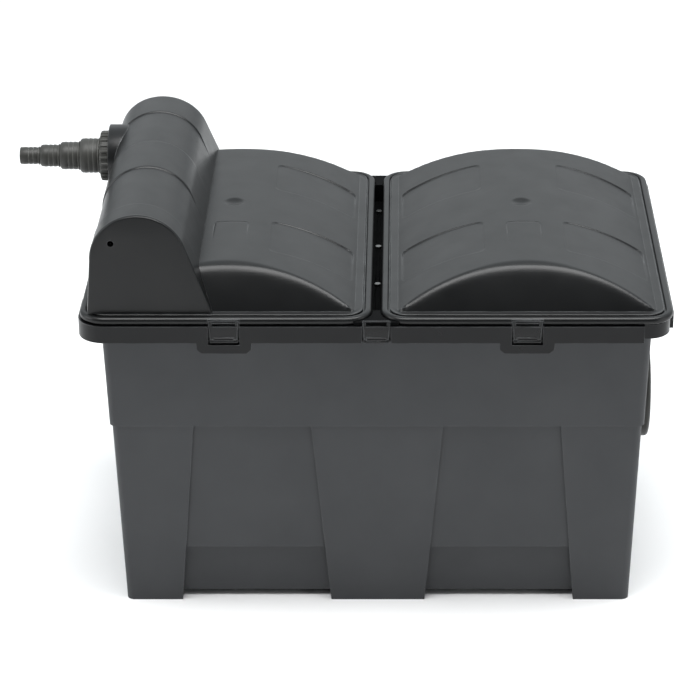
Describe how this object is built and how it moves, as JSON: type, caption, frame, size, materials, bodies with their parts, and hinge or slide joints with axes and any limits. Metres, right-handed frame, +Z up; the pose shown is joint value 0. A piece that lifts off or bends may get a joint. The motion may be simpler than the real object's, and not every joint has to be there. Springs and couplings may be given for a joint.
{
  "type": "pond filter box",
  "caption": "Flow-through pond filter box: legged tub, two domed hinged lids with latches, arched inlet hood with stepped hose tail, screen belt, foams, outlet and drain gate.",
  "frame": {"origin": "on the ground at the middle of the tub's footprint, on the sill under the floor", "axes": "+X along the length towards the outlet, +Y towards the lid hinges, +Z up"},
  "size_m": [0.9118, 0.5668, 0.5911],
  "materials": {
    "tub_plastic": "fine matt moulded texture",
    "rim_plastic": "satin moulded",
    "lid_plastic": "satin moulded with faint sheen",
    "latch_plastic": "satin moulded",
    "stainless": "bright turned",
    "fitting_plastic": "satin moulded",
    "seal_rubber": "dull",
    "insert_plastic": "matt moulded",
    "pull_plastic": "satin moulded light grey",
    "foam_coarse": "open cell, coarse pores",
    "foam_fine": "open cell, fine pores",
    "screen_mesh": "woven mesh",
    "motor_plastic": "matt moulded"
  },
  "bodies": {
    "filter_box": {"tub": "tub_plastic", "rim_collar": "rim_plastic", "latch_pins": "stainless", "hinge_pins": "stainless", "centre_beam": "rim_plastic", "beam_screws": "stainless", "partition_plate": "insert_plastic", "left_base_grid": "insert_plastic", "right_base_grid": "insert_plastic", "foam_holder_1": "pull_plastic", "foam_holder_2": "pull_plastic", "foam_holder_3": "pull_plastic", "foam_block_1": "foam_coarse", "foam_block_2": "foam_coarse", "foam_block_3": "foam_fine", "media_tray": "insert_plastic", "foam_mat": "foam_fine", "screen_side_front": "insert_plastic", "screen_side_rear": "insert_plastic", "screen_deck": "insert_plastic", "screen_belt": "screen_mesh", "scraper": "seal_rubber", "gear_motor": "motor_plastic", "motor_gland": "motor_plastic", "debris_basket": "pull_plastic", "outlet_seal": "seal_rubber", "outlet_flange": "fitting_plastic", "outlet_nut": "fitting_plastic", "outlet_strainer": "fitting_plastic", "drain_seal": "seal_rubber", "drain_valve": "fitting_plastic", "drain_nut": "fitting_plastic"},
    "left_lid": {"left_lid": "lid_plastic", "left_lid_seal": "seal_rubber"},
    "right_lid": {"right_lid": "lid_plastic", "right_lid_seal": "seal_rubber"},
    "inlet_hood": {"inlet_hood": "lid_plastic", "inlet_spout": "fitting_plastic", "tail_seal": "seal_rubber", "hose_tail": "fitting_plastic"},
    "union_nut": {"union_nut": "fitting_plastic"},
    "left_latch": {"left_latch": "latch_plastic"},
    "centre_latch": {"centre_latch": "latch_plastic"},
    "right_latch": {"right_latch": "latch_plastic"},
    "idler_roller": {"idler_roller": "insert_plastic"},
    "drive_roller": {"drive_roller": "insert_plastic"},
    "basket_handle": {"basket_handle": "pull_plastic"},
    "drain_gate": {"drain_gate": "pull_plastic"}
  },
  "joints": [
    {"name": "left_lid_hinge", "type": "hinge", "parent": "filter_box", "child": "left_lid", "pos_m": [-0.2, 0.279, 0.437], "axis": [-1, 0, 0], "range_deg": [0, 100]},
    {"name": "right_lid_hinge", "type": "hinge", "parent": "filter_box", "child": "right_lid", "pos_m": [0.2, 0.279, 0.437], "axis": [-1, 0, 0], "range_deg": [0, 100]},
    {"name": "hood_lift", "type": "slide", "parent": "left_lid", "child": "inlet_hood", "axis": [0, 0, 1], "range_m": [0, 0.15]},
    {"name": "union_nut_turn", "type": "hinge", "parent": "inlet_hood", "child": "union_nut", "pos_m": [-0.392, 0.134, 0.5265], "axis": [-1, 0, 0], "continuous": true},
    {"name": "left_latch_swing", "type": "hinge", "parent": "filter_box", "child": "left_latch", "pos_m": [-0.202, -0.2682, 0.4192], "axis": [1, 0, 0], "range_deg": [0, 95]},
    {"name": "centre_latch_swing", "type": "hinge", "parent": "filter_box", "child": "centre_latch", "pos_m": [0, -0.2682, 0.4192], "axis": [1, 0, 0], "range_deg": [0, 95]},
    {"name": "right_latch_swing", "type": "hinge", "parent": "filter_box", "child": "right_latch", "pos_m": [0.2, -0.2682, 0.4192], "axis": [1, 0, 0], "range_deg": [0, 95]},
    {"name": "drive_roller_turn", "type": "hinge", "parent": "filter_box", "child": "drive_roller", "pos_m": [-0.15, 0, 0.395], "axis": [0, 1, 0], "continuous": true},
    {"name": "idler_roller_turn", "type": "hinge", "parent": "filter_box", "child": "idler_roller", "pos_m": [-0.33, 0, 0.395], "axis": [0, 1, 0], "continuous": true},
    {"name": "basket_handle_swing", "type": "hinge", "parent": "filter_box", "child": "basket_handle", "pos_m": [-0.07, -0.02, 0.42], "axis": [0, -1, 0], "range_deg": [0, 180]},
    {"name": "drain_gate_slide", "type": "slide", "parent": "filter_box", "child": "drain_gate", "axis": [0, 0, 1], "range_m": [0, 0.05]}
  ],
  "couplings": [
    {"joint": "idler_roller_turn", "follows": "drive_roller_turn", "ratio": 1}
  ]
}
